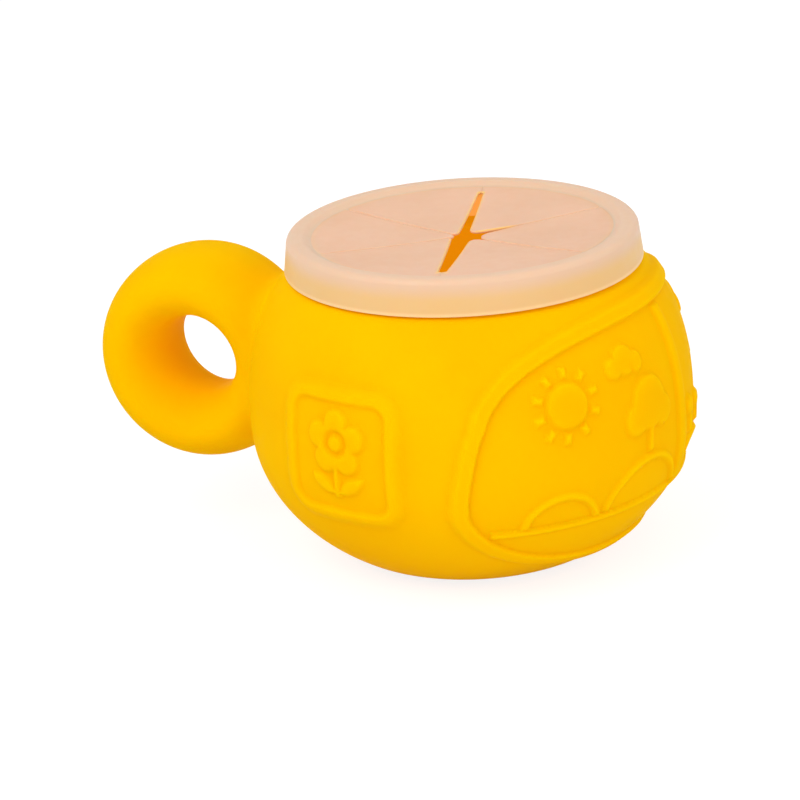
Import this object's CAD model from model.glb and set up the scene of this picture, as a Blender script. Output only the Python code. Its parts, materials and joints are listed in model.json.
"""A toddler's snack cup: yellow silicone with a fat ring handle, and a cloudy peach lid with slits.

Lengths are millimetres, as in part.scad, and MM turns them into Blender's metres. The cup's outside
is one skin over the belly and the ring, found as the zero level of a distance-like field, and the
pictures are raised on it from the outlines of their CAD nodes.
"""
import json
import math
from types import SimpleNamespace

import bpy
import numpy as np
from mathutils import Matrix, Vector
from mathutils.bvhtree import BVHTree


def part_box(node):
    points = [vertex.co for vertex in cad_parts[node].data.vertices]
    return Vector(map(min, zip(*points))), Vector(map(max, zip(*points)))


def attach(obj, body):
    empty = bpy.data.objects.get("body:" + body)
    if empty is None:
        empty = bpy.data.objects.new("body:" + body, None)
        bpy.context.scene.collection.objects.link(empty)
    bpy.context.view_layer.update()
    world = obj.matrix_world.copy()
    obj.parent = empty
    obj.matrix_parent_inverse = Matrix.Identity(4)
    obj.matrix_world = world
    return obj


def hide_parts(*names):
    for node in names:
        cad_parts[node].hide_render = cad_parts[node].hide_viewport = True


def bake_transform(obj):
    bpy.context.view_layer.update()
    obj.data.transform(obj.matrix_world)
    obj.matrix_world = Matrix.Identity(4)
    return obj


MM = 0.001

# ---- Sizes that the frame doesn't show, as in part.scad ----
FULLNESS = 2.5          # squareness of the belly's curve above its widest point
WALL = 3.0              # thickness of the cup's wall
SHOULDER_WALL = 2.1     # thickness of the wall where it reaches the shoulder
FLOOR = 3.0             # thickness of the cup's floor
SHOULDER_T = 2.6        # thickness under the shoulder ledge
BEAD_H = 2.0            # height of the bead around the rim
HOLE_D = 18.4           # finger hole of the ring
EDGE_R = 1.6            # radius on the lid's top outer edge
SLITS = 6
FIRST_SLIT = math.radians(-77)

# ---- The slits, by number, as the photograph shows them ----
SLIT_W = 0.3            # a closed slit looks narrower than the gap that part.scad leaves
SLIT_MID = (4.4, SLIT_W, 2.9, 2.2, SLIT_W, SLIT_W)      # each slit's width at the lid's middle
SLIT_END = (1.5, SLIT_W, SLIT_W, 1.0, SLIT_W, SLIT_W)   # and at its end
SLIT_STOP = (1.5, 0.0, 0.0, 1.0, 0.0, 0.0)              # how much sooner than the hinges it ends
SLIT_CLOSING = (0.5, 0.3)   # how far before and past that end it narrows
CLOSED_LAP = 0.2        # half the lap that hides the seam past an open slit's end
SIDE_SLIT = 2           # number of the star's side slit
SIDE_REACH = 14.5       # and where it has closed

# ---- Softness that only the looks have ----
SKIN_STEP = 0.85        # spacing of the cup skin's mesh, halved around the pictures
LOW_BLEND = 2.5         # reach of the fillet where the ring meets the belly, at the bottom
HIGH_BLEND = 5.0        # and at the top
HIGH_BLEND_DOWN = 4.0   # how far below the shoulder it has grown to that
BASE_ROUND = 3.0        # reach of the rounding around the base
LEDGE_ROUND = 1.4       # and around the shoulder ledge
SKIRT_DROP = 0.22       # how much further down the skirt comes than the rigid one
LAP = 0.8               # how far the disc's edge runs under the band
SAG = 1.4               # how far the soft disc sags at its middle
FLAP_STEP = 0.4         # spacing of the flaps' mesh
TIP_ROUND = (3.6, 6.0, 3.0, 2.4, 3.1, 0.8)  # reach of the rounding on each flap's tip
SIDE_ROUND = 0.4        # and on its sides
SLAB_ROUND = 0.3        # and between its top and underside
LAP_ROUND = 0.1         # and at its edge under the band
EDGE_T = 0.6            # thickness of the disc at the slits
THIN_REACH = 1.6        # how far from a slit it is thinner
LIP = 0.16              # height of the lips along the slits
LIP_REACH = 0.9         # how far from a slit they reach
LIP_FADE = 1.0          # and how far before and past its end they fade

# ---- Marks on the meshes that the materials read ----
RIDGE = "ridge"         # attribute that marks the pictures' ridges and their feet
MARK_SPREAD = 14        # how far around it a ridge is compared, in steps of the mesh
JOIN = "join"           # attribute that marks where the ring's top and bottom meet the belly
JOIN_REACH = 8.0        # how far out the light gathers there
JOIN_HEIGHTS = (9.0, 21.0)  # heights over or under the ring's middle where that starts and is full
OPEN_EDGE = "open_edge"  # attribute that marks the sides of the open slits
OPEN_HALVES = (0.2, 0.5)    # half the width at which a slit starts to count as open, and does fully
OPEN_PAST = (-0.6, -0.2)    # distances past a slit's edge where its mark starts and is full
OPEN_DEPTHS = (0.15, 0.4)   # depths between which the mark falls from one to minus one
OPEN_HOLD = 0.6         # how far before the slits' ends their widths are read for all that is past it
OPEN_FADE = (0.4, 1.3)  # how far past the slits' ends the mark starts to fade and is gone
BAND_MARK = 0.16        # mark of the disc's edge, where light gathers at the band
BAND_FADE = (1.2, 0.2)  # how far inside the disc's edge it starts and is full

# ---- Colours of the photograph, as sRGB ----
YELLOW = (252, 190, 0)
YELLOW_RIDGE = (255, 199, 0)
YELLOW_FOOT = (246, 181, 0)
PEACH_DISC = (232, 187, 154)
PEACH_RIM = (230, 195, 165)
PEACH_SKIRT = (233, 193, 131)
PEACH_EDGE = (248, 214, 160)
OPEN_EDGE_YELLOW = (250, 200, 120)
OPEN_EDGE_ORANGE = (235, 145, 40)

# ---- Glows that stand for the light that silicone lets through: sRGB colours and strengths ----
SKIN_LIGHT = (143, 46, 0)
JOIN_LIGHT = (250, 222, 0)
FLOOR_LIGHT = (252, 226, 20)
NECK_LIGHT = (255, 205, 110)
LID_LIGHT = (255, 180, 130)
SKIN_GLOW = 0.11        # of the cup's outside, with JOIN_LIGHT where the ring meets it
FLOOR_GLOW = 0.162      # of its inside
NECK_GLOW = 0.4         # of the inside of its neck, which light reaches through the lid
LID_GLOW = 0.03         # of the lid

# ---- Camera, fitted to the photograph ----
CAM_TARGET_Z = 34.0
CAM_ELEVATION = 0.3477
CAM_AZIMUTH = 0.3912
CAM_DISTANCE = 749.115
CAM_ROLL = -0.0566
CAM_FOCAL_PX = 3317.23
PHOTO_PX = 800
TARGET_PX = (471.453, 397.211)
SENSOR = 36.0
CLIP_END = 20           # in metres


# ---- Small helpers ----

ARC_SHARE = 0.49        # most of a side that the rounding of one of its corners may take up


def smoothstep(low, high, x):
    t = np.clip((x - low) / (high - low), 0.0, 1.0)
    return t * t * (3.0 - 2.0 * t)


def smooth_min(a, b, reach):
    h = np.maximum(reach - np.abs(a - b), 0.0) / reach
    return np.minimum(a, b) - h * h * reach / 4.0


def smooth_max(a, b, reach):
    return -smooth_min(-a, -b, reach)


def unit(vectors):
    return vectors / np.maximum(np.linalg.norm(vectors, axis=1, keepdims=True), 1e-9)


def circle(radius, height, turns):
    return np.stack([radius * np.cos(turns), radius * np.sin(turns), np.full(len(turns), height)], 1)


def linear(srgb):
    """sRGB from 0 to 255 as the linear RGBA that shaders take."""
    parts = [c / 255.0 for c in srgb]
    return tuple(c / 12.92 if c <= 0.04045 else ((c + 0.055) / 1.055) ** 2.4 for c in parts) + (1.0,)


def shift(colour, by):
    return tuple(max(0, min(255, c + d)) for c, d in zip(colour, by))


def node_points(name):
    mesh = frame["nodes"][name].data
    points = np.empty(3 * len(mesh.vertices))
    mesh.vertices.foreach_get("co", points)
    return points.reshape(-1, 3) / MM


def rounded_path(corners, steps=5):
    """Points of a path whose corners (across, up, radius) are rounded by arcs of that radius."""
    path = []
    last = len(corners) - 1
    for i, (x, y, radius) in enumerate(corners):
        here = np.array([x, y])
        if radius <= 0 or i in (0, last):
            path.append(here)
            continue
        before = np.array(corners[i - 1][:2]) - here
        after = np.array(corners[i + 1][:2]) - here
        in_len, out_len = np.linalg.norm(before), np.linalg.norm(after)
        before, after = before / in_len, after / out_len
        half = math.acos(np.clip(before @ after, -1.0, 1.0)) / 2.0
        back = min(radius / math.tan(half), in_len * ARC_SHARE, out_len * ARC_SHARE)
        start, end = here + before * back, here + after * back
        radius = back * math.tan(half)
        middle = here + (before + after) / np.linalg.norm(before + after) * radius / math.sin(half)
        turn_a = math.atan2(*(start - middle)[::-1])
        turn_b = math.atan2(*(end - middle)[::-1])
        sweep = (turn_b - turn_a + math.pi) % (2 * math.pi) - math.pi
        for k in range(steps + 1):
            turn = turn_a + sweep * k / steps
            path.append(middle + radius * np.array([math.cos(turn), math.sin(turn)]))
    return np.array(path)


def make_object(name, points, faces, smooth=True):
    mesh = bpy.data.meshes.new(name)
    mesh.from_pydata((np.asarray(points) * MM).tolist(), [], [list(f) for f in faces])
    mesh.validate()
    mesh.polygons.foreach_set("use_smooth", [smooth] * len(mesh.polygons))
    mesh.update()
    obj = bpy.data.objects.new(name, mesh)
    bpy.context.scene.collection.objects.link(obj)
    return obj


def set_marks(obj, name, values):
    """Gives every point of an object a value that its material reads by name."""
    layer = obj.data.attributes.new(name, "FLOAT", "POINT")
    layer.data.foreach_set("value", values)


# ---- Surfaces from fields ----

STEEPNESS_FLOOR = 0.05  # a field's squared slope is never taken as less


def surface_net(field, low, high, step):
    """A quad mesh near the zero level of a field that is negative inside."""
    axes = [np.arange(a, b + step, step) for a, b in zip(low, high)]
    grid = np.stack(np.meshgrid(*axes, indexing="ij"), -1)
    inside = field(grid.reshape(-1, 3)).reshape(grid.shape[:3]) < 0
    cells = tuple(n - 1 for n in inside.shape)
    count = np.zeros(cells, int)
    for i, j, k in np.ndindex(2, 2, 2):
        count += inside[i:cells[0] + i, j:cells[1] + j, k:cells[2] + k]
    active = (count > 0) & (count < 8)
    index = np.full(cells, -1)
    index[active] = np.arange(active.sum())
    points = np.array([a[0] for a in axes]) + (np.argwhere(active) + 0.5) * step
    quads = []
    for axis in range(3):
        u, v = np.eye(3, dtype=int)[(axis + 1) % 3], np.eye(3, dtype=int)[(axis + 2) % 3]
        crossing = inside != np.roll(inside, -1, axis)
        crossing[tuple(slice(None) if a != axis else -1 for a in range(3))] = False
        at = np.argwhere(crossing)
        ring = np.stack([index[tuple((at + back).T)] for back in (-u - v, -v, 0 * u, -u)], 1)
        leaving = inside[tuple(at.T)]
        quads.append(np.where(leaving[:, None], ring, ring[:, ::-1]))
    return points, np.concatenate(quads)


def gradient(field, points, reach=0.05):
    steps = np.eye(3) * reach
    return np.stack([field(points + s) - field(points - s) for s in steps], 1) / (2 * reach)


def settle(field, points, rounds, longest=0.6):
    """Moves points onto the field's zero level."""
    for _ in range(rounds):
        slope = gradient(field, points)
        steepness = np.maximum((slope * slope).sum(1), STEEPNESS_FLOOR)
        move = -(field(points) / steepness)[:, None] * slope
        length = np.linalg.norm(move, axis=1, keepdims=True)
        points = points + move * np.minimum(1.0, longest / np.maximum(length, 1e-9))
    return points


def relax(field, points, quads, rounds=4, fixed=None, share=0.6):
    """Evens out a mesh on its surface, moving points by a share of the way each round."""
    ends = np.concatenate([quads[:, [i, (i + 1) % 4]] for i in range(4)])
    degree = np.bincount(ends[:, 0], minlength=len(points))[:, None]
    for _ in range(rounds):
        total = np.stack([np.bincount(ends[:, 0], points[ends[:, 1], k], len(points))
                          for k in range(3)], 1)
        target = total / np.maximum(degree, 1)
        moved = settle(field, points + share * (target - points), rounds=2)
        points = moved if fixed is None else np.where(fixed[:, None], points, moved)
    return points


def refine(points, quads, chosen):
    """Splits the chosen quads in four. Their neighbours take the new points on their edges."""
    edges = np.sort(np.concatenate([quads[chosen][:, [i, (i + 1) % 4]] for i in range(4)]), 1)
    edges = np.unique(edges, axis=0)
    middle = {tuple(e): len(points) + i for i, e in enumerate(edges.tolist())}
    centre = len(points) + len(edges)
    centres = points[quads[chosen]].mean(1)
    points = np.concatenate([points, points[edges].mean(1), centres])
    faces = []
    for quad, split in zip(quads.tolist(), chosen.tolist()):
        mids = [middle.get((min(a, b), max(a, b))) for a, b in zip(quad, quad[1:] + quad[:1])]
        if split:
            faces.extend([quad[i], mids[i], centre, mids[i - 1]] for i in range(4))
            centre += 1
        else:
            faces.append([v for a, m in zip(quad, mids) for v in (a, m) if v is not None])
    return points, faces


def revolve(path, columns):
    """Points and quads of a closed path (across, up) turned about the vertical axis."""
    turns = np.linspace(0, 2 * math.pi, columns, endpoint=False)
    points = np.concatenate([circle(across, up, turns) for across, up in path])
    faces = []
    for i in range(len(path)):
        for j in range(columns):
            a, b = i * columns + j, i * columns + (j + 1) % columns
            down = ((i + 1) % len(path)) * columns
            faces.append([a, down + j, down + (j + 1) % columns, b])
    return points, faces


# ---- Sizes from the frame ----

LEVEL = 0.01            # two heights or radii this close count as one
WIDEST = 0.001          # and the belly's points this close to its radius are where it is widest
PAST_SKIRT = 0.5        # this far outside the skirt's inner side, the shoulder is the highest
PAST_LEDGE = 1.0        # and this far above the shoulder, the rim is the widest


def cup_sizes():
    """The sizes of the solids, read from their points."""
    bowl = np.concatenate([node_points(n) for n in bowl_nodes])
    r, z = np.hypot(bowl[:, 0], bowl[:, 1]), bowl[:, 2]
    lid = node_points("lid_cap")
    lid_r, lid_z = np.hypot(lid[:, 0], lid[:, 1]), lid[:, 2]
    flap_z = node_points("flap_1")[:, 2]
    ring_low, ring_high = (np.array(corner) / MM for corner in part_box("handle_ring"))
    hinge = next(j for j in frame["joints"] if j["name"] == "flap_1_bend")
    s = SimpleNamespace()
    s.belly_r = r.max()
    s.belly_z = z[r > s.belly_r - WIDEST].mean()
    s.base_r = r[z < LEVEL].max()
    s.rim_z = z.max()
    s.skirt_r = lid_r.max()
    s.skirt_low = lid_z.min()
    s.skirt_in = lid_r[lid_z < s.skirt_low + LEVEL].min()
    s.shoulder_z = z[r > s.skirt_in + PAST_SKIRT].max()
    ledge = r[np.abs(z - s.shoulder_z) < LEVEL]
    s.shoulder_r, s.neck_r = ledge.max(), ledge.min()
    s.rim_r = r[z > s.shoulder_z + PAST_LEDGE].max()
    s.mouth_r = r[z > s.rim_z - LEVEL].min()
    s.lower_h = s.belly_z / math.sqrt(1 - (s.base_r / s.belly_r) ** 2)
    s.upper_h = ((s.shoulder_z - s.belly_z)
                 / (1 - (s.shoulder_r / s.belly_r) ** FULLNESS) ** (1 / FULLNESS))
    s.ring_out = (ring_high[2] - ring_low[2]) / 2
    s.ring_z = (ring_high[2] + ring_low[2]) / 2
    s.ring_x = ring_low[0] + s.ring_out
    s.ring_r = (s.ring_out + HOLE_D / 2) / 2
    s.ring_half_t = (s.ring_out - HOLE_D / 2) / 2
    s.ring_half_w = ring_high[1]
    s.lid_z = lid_z.max()
    s.lid_r = lid_r[lid_z > s.lid_z - LEVEL].max() + EDGE_R
    s.band_r = lid_r[lid_z > s.lid_z - LEVEL].min()
    s.web_low, s.web_top = flap_z.min(), flap_z.max()
    s.recess_r = lid_r[np.abs(lid_z - s.web_top) < LEVEL].max()
    s.hinge_r = math.hypot(*hinge["pos_m"][:2]) / MM
    s.slit_r = s.hinge_r / math.cos(math.pi / SLITS)
    return s


# ---- The cup's outside ----

CORE = 0.2              # share of a shape's size inside which its field stays flat
BELLY_SLOPE, RING_SLOPE = 0.5, 0.3  # least slopes of the two fields, as shares of their mean ones


def belly_field(points):
    """About the distance outside the belly: an ellipse below its widest point, and squarer above."""
    r, rise = np.hypot(points[:, 0], points[:, 1]), points[:, 2] - size.belly_z
    power = np.where(rise < 0, 2.0, FULLNESS)
    high = np.where(rise < 0, size.lower_h, size.upper_h)
    a, b = r / size.belly_r, np.abs(rise) / high
    level = np.maximum((a ** power + b ** power) ** (1 / power), CORE)
    slope = np.hypot((a / level) ** (power - 1) / size.belly_r, (b / level) ** (power - 1) / high)
    return (level - 1) / np.maximum(slope, BELLY_SLOPE / size.belly_r)


def ring_field(points):
    """About the distance outside the ring: a wide oval section around a circle."""
    out = np.hypot(points[:, 0] - size.ring_x, points[:, 2] - size.ring_z) - size.ring_r
    side = points[:, 1]
    level = np.maximum(np.hypot(out / size.ring_half_t, side / size.ring_half_w), CORE)
    slope = np.hypot(out / size.ring_half_t ** 2, side / size.ring_half_w ** 2) / level
    return (level - 1) / np.maximum(slope, RING_SLOPE / size.ring_half_w)


def cup_field(points):
    """About the distance outside the cup: the belly and the ring, blended and cut flat at both ends."""
    z = points[:, 2]
    higher = smoothstep(size.belly_z, size.shoulder_z - HIGH_BLEND_DOWN, z)
    reach = LOW_BLEND + (HIGH_BLEND - LOW_BLEND) * higher
    body = smooth_min(belly_field(points), ring_field(points), reach)
    body = smooth_max(body, z - size.shoulder_z, LEDGE_ROUND)
    return smooth_max(body, -z, BASE_ROUND)


# ---- The raised pictures ----

RELIEF_MIDDLE = 0.5     # height at which distances to a raised outline are taken
RELIEF_REACH = 30.0     # how far away an outline is looked for
RELIEF_ABOVE = 4.0      # height from which a ray looks down on a raised node
RELIEF_SKIN = 0.2       # and the height at which it stops
RELIEF_NEAR = 3.0       # margin around a raised node's box
UPRIGHT = 0.5           # a raised node's face whose normal leans out by less than this is a side
# A frame's slopes to the picture and outwards, as distances inside those edges, and its height
FRONT_SLOPES = ((-0.15, 0.4), (-0.5, 1.8), 1.0)
SIDE_SLOPES = ((0.3, 1.6), (-2.5, 0.6), 0.9)
# Heights, and how many times as wide as in the looks the front picture's outlines are there
FRONT_TAPER = ((24.0, 44.0), (0.963, 1.04))
MOTIF_H = 1.0           # height of what the pictures show
MOTIF_EDGE = (-0.55, 0.6)  # where its soft edge starts and ends, as distances inside the outline
MOTIF_EDGE_SHARE = 0.66  # share of the height that the edge rises by
MOTIF_DOME = 2.6        # how far inside the outline the dome behind it levels off
FINE_MARGIN = 1.6       # how far around the pictures the skin's mesh is halved
MOTIF_NODES = ("front_hills", "front_sky", "side_flower_left", "side_flower_right")
SIDE_FRAMES = ("side_frame_left", "side_frame_right")
RAISED_NODES = (*MOTIF_NODES, *SIDE_FRAMES, "front_frame")


class Relief:
    """The outline of a raised CAD node, and how far points of the belly lie inside it."""

    def __init__(self, name):
        mesh = frame["nodes"][name].data
        self.points = node_points(name)
        polygons = [list(p.vertices) for p in mesh.polygons]
        centres = np.array([self.points[p].mean(0) for p in polygons])
        normals = np.array([p.normal for p in mesh.polygons])
        out = unit(gradient(belly_field, centres))
        upright = np.abs((normals * out).sum(1)) < UPRIGHT
        middle = self.points.mean(0)
        facing_middle = (normals * (middle - centres)).sum(1) > 0
        self.whole = BVHTree.FromPolygons(self.points.tolist(), polygons)
        self.walls = self.tree(polygons, upright)
        self.inner = self.tree(polygons, upright & facing_middle)
        self.outer = self.tree(polygons, upright & ~facing_middle)
        self.low, self.high = self.points.min(0) - RELIEF_NEAR, self.points.max(0) + RELIEF_NEAR

    def tree(self, polygons, chosen):
        return BVHTree.FromPolygons(self.points.tolist(), [p for p, c in zip(polygons, chosen) if c])

    def near(self, points):
        return np.all((points > self.low) & (points < self.high), axis=1)

    def covers(self, point, normal):
        start = Vector(point + RELIEF_ABOVE * normal)
        hit = self.whole.ray_cast(start, Vector(-normal), RELIEF_ABOVE - RELIEF_SKIN)
        return hit[0] is not None

    def depth(self, points, normals, walls=None):
        """Distance inside the outline, which is negative outside it."""
        walls = walls or self.walls
        depths = np.empty(len(points))
        for i, (point, normal) in enumerate(zip(points, normals)):
            away = walls.find_nearest(Vector(point + RELIEF_MIDDLE * normal), RELIEF_REACH)[3]
            away = RELIEF_REACH if away is None else away
            depths[i] = away if self.covers(point, normal) else -away
        return depths


def motif_height(depth):
    """A steep soft edge with a dome behind it."""
    edge = smoothstep(*MOTIF_EDGE, depth)
    dome = 1 - (1 - np.clip(depth / MOTIF_DOME, 0, 1)) ** 2
    return MOTIF_H * (MOTIF_EDGE_SHARE * edge + (1 - MOTIF_EDGE_SHARE) * dome)


def frame_height(relief, points, normals, slopes):
    """A ridge along a frame's line, with a slope towards the picture and one outwards."""
    to_inner = np.abs(relief.depth(points, normals, relief.inner))
    to_outer = np.abs(relief.depth(points, normals, relief.outer))
    inside = relief.depth(points, normals) > 0
    past_inner = ~inside & (to_inner < to_outer)
    past_outer = ~inside & ~past_inner
    inner = np.where(past_inner, -to_inner, to_inner)
    outer = np.where(past_outer, -to_outer, to_outer)
    inner_slope, outer_slope, high = slopes
    return high * smoothstep(*inner_slope, inner) * smoothstep(*outer_slope, outer)


def spin(vectors, turns):
    """Vectors, each turned about the vertical axis by its own angle."""
    c, s = np.cos(turns), np.sin(turns)
    x, y = vectors[:, 0], vectors[:, 1]
    return np.stack([c * x - s * y, s * x + c * y, vectors[:, 2]], 1)


def near_relief(name, points, normals):
    """The points near a raised node, and where on its outline they and their normals are read."""
    if name.startswith("front"):
        turns = np.arctan2(points[:, 1], points[:, 0]) * (np.interp(points[:, 2], *FRONT_TAPER) - 1)
        points, normals = spin(points, turns), spin(normals, turns)
    near = np.nonzero(reliefs[name].near(points))[0]
    return near, points[near], normals[near]


def picture_heights(points, normals):
    """How far each point of the skin is raised."""
    heights = np.zeros(len(points))
    for name, relief in reliefs.items():
        near, places, outward = near_relief(name, points, normals)
        if name in MOTIF_NODES:
            raised = motif_height(relief.depth(places, outward))
        else:
            slopes = FRONT_SLOPES if name == "front_frame" else SIDE_SLOPES
            raised = frame_height(relief, places, outward, slopes)
        heights[near] = np.maximum(heights[near], raised)
    return heights


def close_to_pictures(points, normals):
    close = np.zeros(len(points), bool)
    for name, relief in reliefs.items():
        near, places, outward = near_relief(name, points, normals)
        close[near] |= relief.depth(places, outward) > -FINE_MARGIN
    return close


def ridge_marks(heights, faces):
    """Above zero on ridges and below it at their feet, for the light that gathers and fails there."""
    edges = np.array([(a, b) for face in faces for a, b in zip(face, face[1:] + face[:1])])
    count = np.bincount(edges[:, 0], minlength=len(heights))
    mean = heights
    for _ in range(MARK_SPREAD):
        mean = np.bincount(edges[:, 0], mean[edges[:, 1]], len(heights)) / np.maximum(count, 1)
    return heights - mean


# ---- The cup's neck and inside ----

NECK_FOOT_R = 0.7       # rounding where the neck stands on the ledge
BEAD_FOOT_R = 0.6       # and under the bead
BEAD_R = 0.7            # rounding of the bead's edge
BEAD_LEAN = 0.1         # how much narrower the bead is at its top
RIM_ROUND = 0.9         # rounding of the rim
NECK_SEAM = 0.1         # height above the ledge where the neck's material ends inside
NECK_EDGE = 0.8         # how far over the rim it reaches
MOUTH_FOOT_R = 1.2      # rounding at the foot of the mouth
CEILING = (6.0, 1.6)    # run and drop of the slope under the ledge
FLOOR_CORNER = (6.0, 4.0, 7.0)  # run, rise and rounding of the corner around the floor
FLOOR_HUB = 2.0         # radius of the floor's last ring of points
WALL_STEPS = 26         # points along the inside of the wall
OVERSAMPLE = 6          # how many more are worked out to space them evenly


def belly_wall(low, high):
    """Points of the inside of the belly's wall, from one height to another."""
    path = []
    rise = (size.shoulder_z - SHOULDER_T - SHOULDER_WALL / 2 - size.belly_z) / size.upper_h
    neck_u = math.asin(rise ** (FULLNESS / 2))
    for u in np.linspace(-math.pi / 2, math.pi / 2, OVERSAMPLE * WALL_STEPS):
        power, tall = (2.0, size.lower_h) if u < 0 else (FULLNESS, size.upper_h)
        depth = WALL + (SHOULDER_WALL - WALL) * np.clip(u / neck_u, 0, 1)
        across, along, sign = math.cos(u), abs(math.sin(u)), math.copysign(1, u)
        place = np.array([size.belly_r * across ** (2 / power),
                          size.belly_z + sign * tall * along ** (2 / power)])
        slope = np.array([across ** (2 - 2 / power) / size.belly_r,
                          sign * along ** (2 - 2 / power) / tall])
        place -= depth * slope / np.linalg.norm(slope)
        if low < place[1] < high:
            path.append(place)
    path = np.array(path)
    length = np.concatenate([[0], np.cumsum(np.linalg.norm(np.diff(path, axis=0), axis=1))])
    even = np.linspace(0, length[-1], WALL_STEPS)
    return np.stack([np.interp(even, length, path[:, k]) for k in (0, 1)], 1)


def inside_path(start_r):
    """From the ledge over the bead, down the inside and along the floor."""
    z, rim = size.shoulder_z, size.rim_z
    ceiling_run, ceiling_drop = CEILING
    neck = rounded_path([
        (start_r, z, 0),
        (size.neck_r, z, NECK_FOOT_R),
        (size.neck_r, rim - BEAD_H, BEAD_FOOT_R),
        (size.rim_r, rim - BEAD_H * 0.5, BEAD_R),
        (size.rim_r - BEAD_LEAN, rim, RIM_ROUND),
        (size.mouth_r, rim, RIM_ROUND),
        (size.mouth_r, z + NECK_SEAM, 0),
        (size.mouth_r, z - SHOULDER_T, MOUTH_FOOT_R),
        (size.mouth_r + ceiling_run, z - SHOULDER_T - ceiling_drop, 0)])[1:-1]
    corner_run, corner_rise, corner_r = FLOOR_CORNER
    wall = belly_wall(FLOOR + corner_rise, z - SHOULDER_T - SHOULDER_WALL)[::-1]
    last = wall[-1]
    corner = (last[0] - corner_run, FLOOR, corner_r)
    floor = rounded_path([(*last, 0), corner, (FLOOR_HUB, FLOOR, 0)], steps=8)
    return np.concatenate([neck, wall, floor[1:]])


def hole_loop(faces):
    """The points around the one hole of a mesh, in order."""
    edges = dict.fromkeys((a, b) for face in faces for a, b in zip(face, face[1:] + face[:1]))
    open_edges = {b: a for a, b in edges if (b, a) not in edges}
    loop = [next(iter(open_edges))]
    while open_edges[loop[-1]] != loop[0]:
        loop.append(open_edges[loop[-1]])
    return loop


# ---- The cup ----

NET_MARGINS = (2.0, 1.7, 1.5)  # how far past the cup its mesh is looked for: sides, base and top
CUT_IN = 0.4            # how far inside the ledge's middle the outside skin ends
PLUG_DEPTH = 1.0        # the skin inside that, and higher than this below the ledge, is taken out
INSIDE_MATERIAL = 1     # place of the inside's material among the cup's, after the outside's
NECK_MATERIAL = 2       # and of the neck's


def cup_outside(cut_r):
    """The skin's points and quads, open at the top inside a radius, and the loop of that hole."""
    side, below, above = NET_MARGINS
    low = (size.ring_x - size.ring_out - side, -size.belly_r - side, -below)
    high = (size.belly_r + side, size.belly_r + side, size.shoulder_z + above)
    points, quads = surface_net(cup_field, low, high, SKIN_STEP)
    centre = points[quads].mean(1)
    in_middle = np.hypot(centre[:, 0], centre[:, 1]) < cut_r
    quads = quads[~(in_middle & (centre[:, 2] > size.shoulder_z - PLUG_DEPTH))]
    used = np.unique(quads)
    renumber = np.full(len(points), -1)
    renumber[used] = np.arange(len(used))
    points, quads = settle(cup_field, points[used], rounds=4), renumber[quads]
    loop = np.array(hole_loop(quads.tolist()))
    points[loop] = circle(cut_r, size.shoulder_z, np.arctan2(points[loop, 1], points[loop, 0]))
    on_loop = np.zeros(len(points), bool)
    on_loop[loop] = True
    return relax(cup_field, points, quads, fixed=on_loop), quads, loop


def raise_pictures(points, quads):
    """Halves the mesh's steps around the pictures and raises them. Returns points, faces and marks."""
    normals = unit(gradient(cup_field, points))
    close = close_to_pictures(points, normals)
    old = len(points)
    points, faces = refine(points, quads, close[quads].any(1))
    points[old:] = settle(cup_field, points[old:], rounds=2)
    normals = unit(gradient(cup_field, points))
    heights = picture_heights(points, normals)
    return points + heights[:, None] * normals, faces, ridge_marks(heights, faces)


def add_inside(points, loop, path):
    """Carries the skin on from the loop along a path, to the middle of the floor.

    Returns all the points, and the new faces.
    """
    around = np.arctan2(points[loop, 1], points[loop, 0])
    rows = [loop]
    for across, up in path:
        rows.append(np.arange(len(loop)) + len(points))
        points = np.concatenate([points, circle(across, up, around)])
    points = np.concatenate([points, [[0, 0, FLOOR]]])
    faces = []
    for here, below in zip(rows, rows[1:]):
        faces.extend(np.stack([here, np.roll(here, -1), np.roll(below, -1), below], 1).tolist())
    last = rows[-1]
    middle = np.full(len(loop), len(points) - 1)
    faces.extend(np.stack([last, np.roll(last, -1), middle], 1).tolist())
    return points, faces


def join_marks(points):
    """Marks that are highest where the ring's top and bottom meet the belly."""
    to_join = np.maximum(ring_field(points), belly_field(points))
    off_middle = np.abs(points[:, 2] - size.ring_z)
    return np.exp(-(to_join / JOIN_REACH) ** 2) * smoothstep(*JOIN_HEIGHTS, off_middle)


def build_cup():
    """The cup as one closed skin: its outside, the bead and the inside."""
    cut_r = (size.neck_r + size.shoulder_r) / 2 - CUT_IN
    points, quads, loop = cup_outside(cut_r)
    points, faces, marks = raise_pictures(points, quads)
    points, inside = add_inside(points, loop, inside_path(cut_r))
    cup = make_object("cup_skin", points, faces + inside)
    for polygon in cup.data.polygons[len(faces):]:
        x, y, z = polygon.center / MM
        if z < size.shoulder_z + NECK_SEAM:
            polygon.material_index = INSIDE_MATERIAL
        elif math.hypot(x, y) < size.mouth_r + NECK_EDGE:
            polygon.material_index = NECK_MATERIAL
    set_marks(cup, RIDGE, np.pad(marks, (0, len(points) - len(marks))))
    set_marks(cup, JOIN, join_marks(points))
    return cup


# ---- The lid ----

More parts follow.
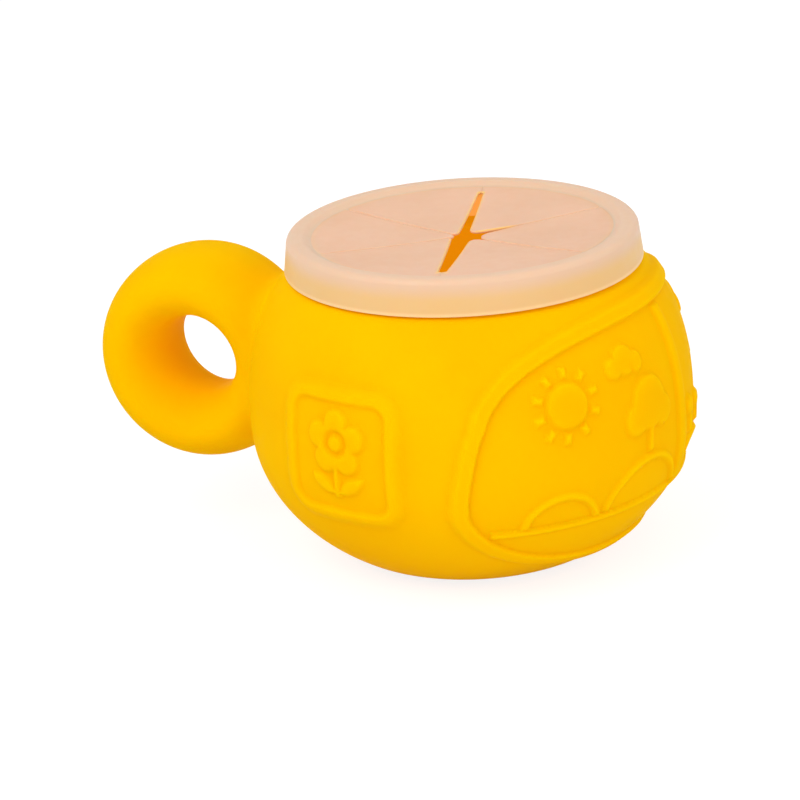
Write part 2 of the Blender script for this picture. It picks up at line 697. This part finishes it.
LID_COLUMNS = 240       # points around the lid's shell
FOOT_IN = 0.5           # how far inside the disc's edge the band's foot starts
FOOT_OUT = 0.5          # how far outside it the foot becomes a slope
FOOT_UNDER = 0.5        # how far below the disc's top the foot's underside lies
FOOT_DROP = 0.12        # and how far its inner edge does
FOOT_RISE = 0.08        # how far above the disc's top the slope starts
FOOT_R = 1.5            # and the rounding there
BAND_OUT = 1.5          # how far outside the flat top's inner edge the slope would meet it
BAND_R = 2.4            # and the rounding there
SKIRT_ROUND = 0.3       # rounding of the skirt's lower edge
SEAT_ROUND = 0.6        # rounding inside, where the lid sits on the rim
SEAT_GAP = 0.1          # gap around the disc's hidden edge, and the rounding there
FLAP_MARGINS = (1.5, 1.0)   # how far around a flap, and over and under it, its mesh is looked for
FLAP_CORNERS = 9        # points on its rim that its box is taken from


def build_lid_shell():
    """The skirt and the band around the sunk disc."""
    foot_r, seat_r = size.recess_r - FOOT_IN, size.recess_r + LAP + SEAT_GAP
    foot_z, skirt_z = size.web_top - FOOT_UNDER, size.skirt_low - SKIRT_DROP
    path = rounded_path([
        (foot_r, foot_z, 0),
        (foot_r, size.web_top - FOOT_DROP, 0),
        (size.recess_r + FOOT_OUT, size.web_top + FOOT_RISE, FOOT_R),
        (size.band_r + BAND_OUT, size.lid_z, BAND_R),
        (size.lid_r, size.lid_z, EDGE_R),
        (size.skirt_r, skirt_z, SKIRT_ROUND),
        (size.skirt_in, skirt_z, SKIRT_ROUND),
        (size.skirt_in, size.rim_z, SEAT_ROUND),
        (seat_r, size.rim_z, SEAT_GAP),
        (seat_r, foot_z, 0),
        (foot_r, foot_z, 0)], steps=7)[:-1]
    points, faces = revolve(path, LID_COLUMNS)
    return make_object("lid_shell", points, faces)


def slit_turn(number):
    """Direction of a slit. A flap's middle is half a number further on."""
    return FIRST_SLIT + 2 * math.pi / SLITS * number


def slit_half(number, along):
    """Half a slit's width at distances along it from the middle of the lid."""
    number %= SLITS
    reach = SIDE_REACH if number == SIDE_SLIT else size.slit_r
    share = np.clip(along / reach, 0, 1)
    half = (SLIT_MID[number] + (SLIT_END[number] - SLIT_MID[number]) * share) / 2
    stop = size.slit_r - SLIT_STOP[number]
    before, past = SLIT_CLOSING
    closing = smoothstep(stop - before, stop + past, along)
    return half * (1 - closing) - (CLOSED_LAP * closing if SLIT_STOP[number] else 0)


def slit_edges(number, points):
    """Distances past the edges of the two slits beside a flap, and half the slits' widths there."""
    past, halves = [], []
    for which, sign in ((number, -1), (number + 1, 1)):
        turn = slit_turn(which)
        along = points[:, 0] * math.cos(turn) + points[:, 1] * math.sin(turn)
        across = -points[:, 0] * math.sin(turn) + points[:, 1] * math.cos(turn)
        halves.append(slit_half(which, along))
        past.append(halves[-1] + sign * across)
    return past, halves


def sag(r):
    """How far the disc hangs down at a radius."""
    return SAG * np.clip(1 - (r / size.recess_r) ** 2, 0, 1)


def flap_field(number):
    """The field of one sector of the sunk disc, with the slits on its two sides."""
    def field(points):
        past, _ = slit_edges(number, points)
        sides = smooth_max(*past, TIP_ROUND[number])
        r = np.hypot(points[:, 0], points[:, 1])
        level = points[:, 2] + sag(r)
        past_slits = smoothstep(size.slit_r - LIP_FADE, size.slit_r + LIP_FADE, r)
        lip = LIP * np.exp(-(sides / LIP_REACH) ** 2) * (1 - past_slits)
        thin = (size.web_top - size.web_low - EDGE_T) * np.exp(-(sides / THIN_REACH) ** 2)
        slab = smooth_max(level - size.web_top - lip, size.web_low + thin - level, SLAB_ROUND)
        sector = smooth_max(sides, slab, SIDE_ROUND)
        return smooth_max(sector, r - size.recess_r - LAP, LAP_ROUND)
    return field


def build_flap(number):
    """One sixth of the sunk disc."""
    field = flap_field(number)
    middle = slit_turn(number + 0.5)
    turns = np.linspace(middle - math.pi / SLITS, middle + math.pi / SLITS, FLAP_CORNERS)
    rim = (size.recess_r + LAP) * np.stack([np.cos(turns), np.sin(turns)], 1)
    corners = np.concatenate([rim, [[0, 0]]])
    around, over = FLAP_MARGINS
    low = (*(corners.min(0) - around), size.web_low - SAG - over)
    high = (*(corners.max(0) + around), size.web_top + over)
    points, quads = surface_net(field, low, high, FLAP_STEP)
    points = relax(field, settle(field, points, rounds=4), quads, rounds=3)
    flap = make_object(f"lid_flap_{number + 1}", points, quads.tolist())
    set_marks(flap, OPEN_EDGE, open_edge_marks(number, points))
    return flap


def open_edge_marks(number, points):
    """Marks the sides of the open slits: above zero at the top, and below it further down."""
    r = np.hypot(points[:, 0], points[:, 1])
    stop = size.slit_r - max(SLIT_STOP)
    inwards = np.minimum(1, (stop - OPEN_HOLD) / r)[:, None]
    marks = np.zeros(len(points))
    for past, half in zip(*slit_edges(number, points * inwards)):
        marks = np.maximum(marks, smoothstep(*OPEN_HALVES, half) * smoothstep(*OPEN_PAST, past))
    marks *= 1 - smoothstep(*OPEN_FADE, r - stop)
    marks *= 1 - 2 * smoothstep(*OPEN_DEPTHS, size.web_top - sag(r) - points[:, 2])
    return np.maximum(marks, BAND_MARK * smoothstep(*BAND_FADE, size.recess_r - r))


# ---- Materials ----

# Scales of the noise are per metre. A look's grains are scales and depths in mm, the coarse one first.
CUP_LOOK = SimpleNamespace(
    dust=420.0, roughness=(0.46, 0.58), specular=0.004, grains=((160.0, 0.05), (2200.0, 0.012)),
    scatter=0.35, scatter_rgb=(1.0, 0.45, 0.08), scatter_mm=2.4)
LID_LOOK = SimpleNamespace(
    dust=380.0, roughness=(0.38, 0.5), specular=0.3, grains=((120.0, 0.05), (2000.0, 0.01)),
    scatter=0.6, scatter_rgb=(1.0, 0.6, 0.4), scatter_mm=1.2)
CUP_MOTTLE, LID_MOTTLE = 28.0, 45.0     # scales of the slow unevenness in the colours
YELLOW_MOTTLE = ((-3, -4, 0), (0, 2, 0))    # how far it shifts the yellow either way
PEACH_MOTTLE = ((-3, -4, -5), (2, 3, 4))    # and the disc's peach
MOTTLE_RANGE = (0.35, 0.65)     # values of the noise between which the cup's colour changes
NOISE_RANGE = (0.3, 0.7)        # and between which the lid's colour and any roughness do
RIDGE_FULL, FOOT_FULL = 0.45, -0.35     # marks at which a ridge is palest and its foot is deepest
SKIRT_FADE = (3.0, 1.2)     # how far above the skirt's edge and below the lid's top it turns paler
EDGE_FADE = (0.2, 0.9)      # heights between which the skirt's bright edge fades
EDGE_SHOW = 0.75            # how much of that edge's colour shows
CLOUD_SHOW = 0.12           # and how much of the clouds
MIX_FACTOR, MIX_LOW, MIX_HIGH = 0, 6, 7     # a Mix node's sockets when it mixes colours
MIX_RESULT = 2                              # and its output then


def new_material(name):
    material = bpy.data.materials.new(name)
    material.use_nodes = True
    tree = material.node_tree
    return material, tree, tree.nodes["Principled BSDF"]


def maximum(tree, first, second):
    node = tree.nodes.new("ShaderNodeMath")
    node.operation = "MAXIMUM"
    tree.links.new(first, node.inputs[0])
    tree.links.new(second, node.inputs[1])
    return node.outputs[0]


def attribute(tree, name):
    node = tree.nodes.new("ShaderNodeAttribute")
    node.attribute_name = name
    return node.outputs["Fac"]


def noise(tree, coordinates, scale, detail):
    node = tree.nodes.new("ShaderNodeTexNoise")
    node.inputs["Scale"].default_value = scale
    node.inputs["Detail"].default_value = detail
    tree.links.new(coordinates.outputs["Object"], node.inputs["Vector"])
    return node.outputs["Fac"]


def mix_colour(tree, factor, low, high):
    """Mixes two colours by a socket. A colour is an sRGB triple or a socket."""
    node = tree.nodes.new("ShaderNodeMix")
    node.data_type = "RGBA"
    tree.links.new(factor, node.inputs[MIX_FACTOR])
    for index, colour in ((MIX_LOW, low), (MIX_HIGH, high)):
        if isinstance(colour, tuple):
            node.inputs[index].default_value = linear(colour)
        else:
            tree.links.new(colour, node.inputs[index])
    return node.outputs[MIX_RESULT]


def map_range(tree, value, low, high, to_low=0.0, to_high=1.0, smooth=True):
    node = tree.nodes.new("ShaderNodeMapRange")
    node.interpolation_type = "SMOOTHSTEP" if smooth else "LINEAR"
    node.inputs["From Min"].default_value = low
    node.inputs["From Max"].default_value = high
    node.inputs["To Min"].default_value = to_low
    node.inputs["To Max"].default_value = to_high
    tree.links.new(value, node.inputs["Value"])
    return node.outputs["Result"]


def grain(tree, shader, coordinates, grains):
    """A moulded surface's unevenness, as bumps on bumps."""
    normal = None
    for scale, depth in grains:
        bump = tree.nodes.new("ShaderNodeBump")
        bump.inputs["Strength"].default_value = 1.0
        bump.inputs["Distance"].default_value = depth * MM
        tree.links.new(noise(tree, coordinates, scale, detail=2.0), bump.inputs["Height"])
        if normal:
            tree.links.new(normal, bump.inputs["Normal"])
        normal = bump.outputs["Normal"]
    tree.links.new(normal, shader.inputs["Normal"])


def silicone(name, look, light, glow):
    """Silicone without its colour. Its faint glow stands for the light that it lets through."""
    material, tree, shader = new_material(name)
    coordinates = tree.nodes.new("ShaderNodeTexCoord")
    dust = noise(tree, coordinates, look.dust, detail=3.0)
    roughness = map_range(tree, dust, *NOISE_RANGE, *look.roughness)
    tree.links.new(roughness, shader.inputs["Roughness"])
    shader.inputs["Specular IOR Level"].default_value = look.specular
    shader.inputs["Subsurface Weight"].default_value = look.scatter
    shader.inputs["Subsurface Radius"].default_value = look.scatter_rgb
    shader.inputs["Subsurface Scale"].default_value = look.scatter_mm * MM
    shader.inputs["Emission Color"].default_value = linear(light)
    shader.inputs["Emission Strength"].default_value = glow
    grain(tree, shader, coordinates, look.grains)
    return material, tree, shader, coordinates


def cup_material(name, light, glow, join_light=None):
    """Matt yellow, paler on ridges and deeper at their feet."""
    material, tree, shader, coordinates = silicone(name, CUP_LOOK, light, glow)
    mottle = map_range(tree, noise(tree, coordinates, CUP_MOTTLE, detail=4.0), *MOTTLE_RANGE)
    colour = mix_colour(tree, mottle, *(shift(YELLOW, by) for by in YELLOW_MOTTLE))
    mark = attribute(tree, RIDGE)
    on_ridge = map_range(tree, mark, 0.0, RIDGE_FULL, smooth=False)
    at_foot = map_range(tree, mark, 0.0, FOOT_FULL, smooth=False)
    colour = mix_colour(tree, on_ridge, colour, YELLOW_RIDGE)
    colour = mix_colour(tree, at_foot, colour, YELLOW_FOOT)
    tree.links.new(colour, shader.inputs["Base Color"])
    if join_light:
        glowing = mix_colour(tree, attribute(tree, JOIN), light, join_light)
        tree.links.new(glowing, shader.inputs["Emission Color"])
    return material


def disc_material(name):
    """The disc's peach, with the cup's colour on the sides of the open slits."""
    material, tree, shader, coordinates = silicone(name, LID_LOOK, LID_LIGHT, LID_GLOW)
    cloud = map_range(tree, noise(tree, coordinates, LID_MOTTLE, detail=4.0), *NOISE_RANGE)
    colour = mix_colour(tree, cloud, *(shift(PEACH_DISC, by) for by in PEACH_MOTTLE))
    mark = attribute(tree, OPEN_EDGE)
    colour = mix_colour(tree, mark, colour, OPEN_EDGE_YELLOW)
    below = map_range(tree, mark, 0.0, -1.0, smooth=False)
    tree.links.new(mix_colour(tree, below, colour, OPEN_EDGE_ORANGE), shader.inputs["Base Color"])
    return material


def shell_material(name):
    """Cloudy peach that the cup's yellow shows through at the skirt, brightest at its lower edge."""
    material, tree, shader, coordinates = silicone(name, LID_LOOK, LID_LIGHT, LID_GLOW)
    cloud = map_range(tree, noise(tree, coordinates, LID_MOTTLE, detail=4.0), *NOISE_RANGE)
    split = tree.nodes.new("ShaderNodeSeparateXYZ")
    tree.links.new(coordinates.outputs["Object"], split.inputs["Vector"])
    height = split.outputs["Z"]
    up, down = SKIRT_FADE
    rise = map_range(tree, height, (size.skirt_low + up) * MM, (size.lid_z - down) * MM)
    colour = mix_colour(tree, rise, PEACH_SKIRT, PEACH_RIM)
    edge_low, edge_high = ((size.skirt_low + above) * MM for above in EDGE_FADE)
    edge = map_range(tree, height, edge_low, edge_high, EDGE_SHOW, 0.0)
    colour = mix_colour(tree, edge, colour, PEACH_EDGE)
    clouds = map_range(tree, cloud, 0, 1, 0.0, CLOUD_SHOW, smooth=False)
    colour = mix_colour(tree, clouds, colour, PEACH_RIM)
    tree.links.new(colour, shader.inputs["Base Color"])
    return material


# ---- Stage, lights and camera ----

FLOOR_HALF = 1500.0     # half the length of the floor's sides
FLOOR_Z = -0.05         # just under the cup's base
FLOOR_BOUNCE = (236, 236, 235)  # the floor's colour in the light that it bounces
WHITE = (255, 255, 255)         # and to the camera and in reflections
FLOOR_LIFT = 0.72       # share of plain white in the floor that the camera sees
PLAIN_WHITE = 1.15      # and that white's strength
WORLD_LIGHT = 0.7       # strength of the light from all round. The camera sees it at 1.
# Each softbox's place, what it faces, its width and its watts
SOFTBOXES = {
    "key_softbox": ((-210, -515, 650), (0, 0, 30), 500, 2.3),
    "fill_softbox": ((600, -450, 300), (0, 0, 30), 500, 1.2),
    "side_softbox": ((560, 320, 420), (0, 0, 50), 400, 0.36),
}


def stage_material():
    """White to the camera where it is lit fully, and a little darker for the light that it bounces."""
    material, tree, shader = new_material("pale_floor")
    path = tree.nodes.new("ShaderNodeLightPath")
    seen = maximum(tree, path.outputs["Is Camera Ray"], path.outputs["Is Glossy Ray"])
    tree.links.new(mix_colour(tree, seen, FLOOR_BOUNCE, WHITE), shader.inputs["Base Color"])
    shader.inputs["Roughness"].default_value = 0.9
    shader.inputs["Specular IOR Level"].default_value = 0.0
    white = tree.nodes.new("ShaderNodeEmission")
    white.inputs["Strength"].default_value = PLAIN_WHITE
    lift = tree.nodes.new("ShaderNodeMixShader")
    tree.links.new(map_range(tree, seen, 0, 1, 0, FLOOR_LIFT, smooth=False), lift.inputs[0])
    tree.links.new(shader.outputs[0], lift.inputs[1])
    tree.links.new(white.outputs[0], lift.inputs[2])
    tree.links.new(lift.outputs[0], tree.nodes["Material Output"].inputs["Surface"])
    return material


def build_floor():
    h = FLOOR_HALF
    corners = [(-h, -h, FLOOR_Z), (h, -h, FLOOR_Z), (h, h, FLOOR_Z), (-h, h, FLOOR_Z)]
    floor = make_object("floor", corners, [[0, 1, 2, 3]], smooth=False)
    floor.data.materials.append(stage_material())


def build_world():
    world = bpy.data.worlds.new("studio")
    world.use_nodes = True
    tree = world.node_tree
    background = tree.nodes["Background"]
    background.inputs["Color"].default_value = (1, 1, 1, 1)
    path = tree.nodes.new("ShaderNodeLightPath")
    seen = maximum(tree, path.outputs["Is Camera Ray"], path.outputs["Is Transmission Ray"])
    strength = map_range(tree, seen, 0, 1, WORLD_LIGHT, 1.0, smooth=False)
    tree.links.new(strength, background.inputs["Strength"])
    bpy.context.scene.world = world


def build_softbox(name, place, aim, width, power):
    data = bpy.data.lights.new(name, "AREA")
    data.shape = "SQUARE"
    data.size = width * MM
    data.energy = power
    lamp = bpy.data.objects.new(name, data)
    lamp.location = Vector(place) * MM
    direction = (Vector(aim) - Vector(place)).normalized()
    lamp.rotation_euler = direction.to_track_quat("-Z", "Y").to_euler()
    bpy.context.scene.collection.objects.link(lamp)


def build_camera():
    e, az = CAM_ELEVATION, CAM_AZIMUTH
    back = Vector((math.sin(az) * math.cos(e), -math.cos(az) * math.cos(e), math.sin(e)))
    place = Vector((0, 0, CAM_TARGET_Z)) + CAM_DISTANCE * back
    forward = -back
    right = forward.cross(Vector((0, 0, 1))).normalized()
    up = right.cross(forward)
    rolled_right = math.cos(CAM_ROLL) * right + math.sin(CAM_ROLL) * up
    rolled_up = -math.sin(CAM_ROLL) * right + math.cos(CAM_ROLL) * up
    across = (TARGET_PX[0] - PHOTO_PX / 2) / CAM_FOCAL_PX
    down = (PHOTO_PX / 2 - TARGET_PX[1]) / CAM_FOCAL_PX
    look = (forward - across * rolled_right - down * rolled_up).normalized()
    x_axis = look.cross(rolled_up).normalized()
    y_axis = x_axis.cross(look)
    turn = Matrix((x_axis, y_axis, -look)).transposed().to_4x4()
    data = bpy.data.cameras.new("photo_camera")
    data.sensor_width = SENSOR
    data.lens = CAM_FOCAL_PX / PHOTO_PX * SENSOR
    data.clip_end = CLIP_END
    camera = bpy.data.objects.new("photo_camera", data)
    camera.matrix_world = Matrix.Translation(place * MM) @ turn
    bpy.context.scene.collection.objects.link(camera)
    bpy.context.scene.camera = camera


# ---- The scene ----

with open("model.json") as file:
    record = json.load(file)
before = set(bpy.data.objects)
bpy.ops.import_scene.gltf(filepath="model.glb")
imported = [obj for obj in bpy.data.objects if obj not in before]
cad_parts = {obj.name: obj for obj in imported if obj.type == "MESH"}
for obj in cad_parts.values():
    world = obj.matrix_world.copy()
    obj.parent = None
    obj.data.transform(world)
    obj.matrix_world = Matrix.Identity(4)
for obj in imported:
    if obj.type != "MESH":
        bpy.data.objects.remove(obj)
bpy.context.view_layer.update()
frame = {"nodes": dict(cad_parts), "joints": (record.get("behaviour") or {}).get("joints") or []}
bowl_nodes = [name for name in frame["nodes"] if name.startswith("bowl")]
size = cup_sizes()
reliefs = {name: Relief(name) for name in RAISED_NODES}

cup_skin = build_cup()
for material in (cup_material("yellow_silicone", SKIN_LIGHT, SKIN_GLOW, JOIN_LIGHT),
                 cup_material("yellow_silicone_floor", FLOOR_LIGHT, FLOOR_GLOW),
                 cup_material("yellow_silicone_neck", NECK_LIGHT, NECK_GLOW)):
    cup_skin.data.materials.append(material)
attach(cup_skin, "cup")
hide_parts(*bowl_nodes, "handle_ring", *reliefs)

lid_shell = build_lid_shell()
lid_shell.data.materials.append(shell_material("peach_silicone_rim"))
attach(lid_shell, "lid")
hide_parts("lid_cap")

disc_peach = disc_material("peach_silicone_disc")
for number in range(SLITS):
    flap = build_flap(number)
    flap.data.materials.append(disc_peach)
    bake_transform(flap)
    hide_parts(f"flap_{number + 1}")

build_floor()
build_world()
for name, (place, aim, width, power) in SOFTBOXES.items():
    build_softbox(name, place, aim, width, power)
build_camera()
bpy.context.scene.view_settings.view_transform = "Standard"
